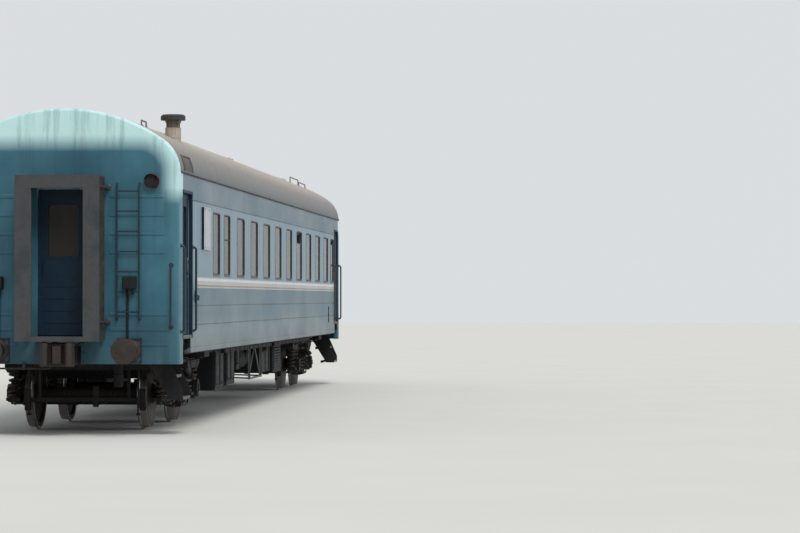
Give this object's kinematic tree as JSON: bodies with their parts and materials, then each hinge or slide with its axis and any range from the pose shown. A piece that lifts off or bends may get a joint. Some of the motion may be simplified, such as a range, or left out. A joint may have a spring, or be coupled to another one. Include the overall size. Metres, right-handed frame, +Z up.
{
  "type": "railway passenger coach",
  "caption": "Railway passenger coach with corridor and rooms, gangways at both ends, and two bogies that swivel under a long ribless body.",
  "frame": {"origin": "centre of the coach's plan at the tips of the wheel flanges, 28 mm below the rail head", "axes": "+X along the coach to its rear end, +Y to its left side, +Z up"},
  "size_m": [24.7406, 3.237, 4.4585],
  "materials": {
    "side_paint": "satin",
    "end_paint": "satin",
    "roof_paint": "matte",
    "door_paint": "satin",
    "window_rubber": "matte",
    "window_glass": "gloss",
    "floor_steel": "matte",
    "underframe_black": "matte",
    "box_grey": "matte",
    "bogie_black": "matte",
    "spring_steel": "matte",
    "wheel_steel": "satin",
    "bellows_rubber": "matte",
    "gangway_steel": "matte",
    "coupler_iron": "matte",
    "rail_paint": "satin",
    "vent_steel": "matte",
    "stack_steel": "matte",
    "room_laminate": "satin",
    "berth_vinyl": "satin",
    "board_white": "satin",
    "lamp_red": "gloss"
  },
  "bodies": {
    "coach_body": {"side_wall_left": "side_paint", "side_wall_right": "side_paint", "end_wall_front": "end_paint", "end_wall_rear": "end_paint", "roof": "roof_paint", "window_frames_left": "window_rubber", "window_frames_right": "window_rubber", "window_glass_left": "window_glass", "window_glass_right": "window_glass", "floor_deck": "floor_steel", "underframe": "underframe_black", "air_reservoirs": "underframe_black", "brake_cylinder": "underframe_black", "entry_steps_front": "underframe_black", "entry_steps_rear": "underframe_black", "battery_boxes": "box_grey", "equipment_boxes": "box_grey", "gangway_bellows_front": "bellows_rubber", "gangway_bellows_rear": "bellows_rubber", "gangway_frame_front": "gangway_steel", "gangway_frame_rear": "gangway_steel", "coupler_front": "coupler_iron", "coupler_rear": "coupler_iron", "buffers": "coupler_iron", "handrails": "rail_paint", "roof_vents": "vent_steel", "air_intakes": "vent_steel", "roof_stack": "stack_steel", "bulkheads": "room_laminate", "corridor_wall": "room_laminate", "room_walls": "room_laminate", "tables": "room_laminate", "lower_berths": "berth_vinyl", "upper_berths": "berth_vinyl", "destination_board": "board_white", "tail_lamps": "lamp_red"},
    "bogie_front": {"bogie_frame_front": "bogie_black", "bogie_bolster_front": "bogie_black", "axle_boxes_front": "bogie_black", "bogie_springs_front": "spring_steel", "brake_gear_front": "bogie_black"},
    "wheels_front_outer": {"wheelset_front_outer": "wheel_steel"},
    "wheels_front_inner": {"wheelset_front_inner": "wheel_steel"},
    "door_front_right": {"side_door_front_right": "door_paint"},
    "flap_front_right": {"step_flap_front_right": "floor_steel"},
    "door_front_left": {"side_door_front_left": "door_paint"},
    "flap_front_left": {"step_flap_front_left": "floor_steel"},
    "gangway_door_front": {"end_door_front": "door_paint"},
    "bogie_rear": {"bogie_frame_rear": "bogie_black", "bogie_bolster_rear": "bogie_black", "axle_boxes_rear": "bogie_black", "bogie_springs_rear": "spring_steel", "brake_gear_rear": "bogie_black"},
    "wheels_rear_outer": {"wheelset_rear_outer": "wheel_steel"},
    "wheels_rear_inner": {"wheelset_rear_inner": "wheel_steel"},
    "door_rear_right": {"side_door_rear_right": "door_paint"},
    "flap_rear_right": {"step_flap_rear_right": "floor_steel"},
    "door_rear_left": {"side_door_rear_left": "door_paint"},
    "flap_rear_left": {"step_flap_rear_left": "floor_steel"},
    "gangway_door_rear": {"end_door_rear": "door_paint"}
  },
  "joints": [
    {"name": "bogie_front_swivel", "type": "hinge", "parent": "coach_body", "child": "bogie_front", "pos_m": [-8.5, 0, 0.975], "axis": [0, 0, 1], "range_deg": [-4, 4]},
    {"name": "wheels_front_outer_spin", "type": "hinge", "parent": "bogie_front", "child": "wheels_front_outer", "pos_m": [-9.7, 0, 0.503], "axis": [0, 1, 0], "continuous": true},
    {"name": "wheels_front_inner_spin", "type": "hinge", "parent": "bogie_front", "child": "wheels_front_inner", "pos_m": [-7.3, 0, 0.503], "axis": [0, 1, 0], "continuous": true},
    {"name": "door_front_right_swing", "type": "hinge", "parent": "coach_body", "child": "door_front_right", "pos_m": [-11.475, -1.4805, 1.328], "axis": [0, 0, 1], "range_deg": [0, 90]},
    {"name": "flap_front_right_lift", "type": "hinge", "parent": "coach_body", "child": "flap_front_right", "pos_m": [-11.1075, -1.0005, 1.318], "axis": [-1, 0, 0], "range_deg": [0, 90]},
    {"name": "door_front_left_swing", "type": "hinge", "parent": "coach_body", "child": "door_front_left", "pos_m": [-11.475, 1.4805, 1.328], "axis": [0, 0, -1], "range_deg": [0, 90]},
    {"name": "flap_front_left_lift", "type": "hinge", "parent": "coach_body", "child": "flap_front_left", "pos_m": [-11.1075, 1.0005, 1.318], "axis": [1, 0, 0], "range_deg": [0, 90]},
    {"name": "gangway_door_front_swing", "type": "hinge", "parent": "coach_body", "child": "gangway_door_front", "pos_m": [-11.74, -0.325, 1.328], "axis": [0, 0, -1], "range_deg": [0, 90]},
    {"name": "bogie_rear_swivel", "type": "hinge", "parent": "coach_body", "child": "bogie_rear", "pos_m": [8.5, 0, 0.975], "axis": [0, 0, 1], "range_deg": [-4, 4]},
    {"name": "wheels_rear_outer_spin", "type": "hinge", "parent": "bogie_rear", "child": "wheels_rear_outer", "pos_m": [9.7, 0, 0.503], "axis": [0, 1, 0], "continuous": true},
    {"name": "wheels_rear_inner_spin", "type": "hinge", "parent": "bogie_rear", "child": "wheels_rear_inner", "pos_m": [7.3, 0, 0.503], "axis": [0, 1, 0], "continuous": true},
    {"name": "door_rear_right_swing", "type": "hinge", "parent": "coach_body", "child": "door_rear_right", "pos_m": [11.475, -1.4805, 1.328], "axis": [0, 0, -1], "range_deg": [0, 90]},
    {"name": "flap_rear_right_lift", "type": "hinge", "parent": "coach_body", "child": "flap_rear_right", "pos_m": [11.1075, -1.0005, 1.318], "axis": [-1, 0, 0], "range_deg": [0, 90]},
    {"name": "door_rear_left_swing", "type": "hinge", "parent": "coach_body", "child": "door_rear_left", "pos_m": [11.475, 1.4805, 1.328], "axis": [0, 0, 1], "range_deg": [0, 90]},
    {"name": "flap_rear_left_lift", "type": "hinge", "parent": "coach_body", "child": "flap_rear_left", "pos_m": [11.1075, 1.0005, 1.318], "axis": [1, 0, 0], "range_deg": [0, 90]},
    {"name": "gangway_door_rear_swing", "type": "hinge", "parent": "coach_body", "child": "gangway_door_rear", "pos_m": [11.74, 0.325, 1.328], "axis": [0, 0, -1], "range_deg": [0, 90]}
  ]
}
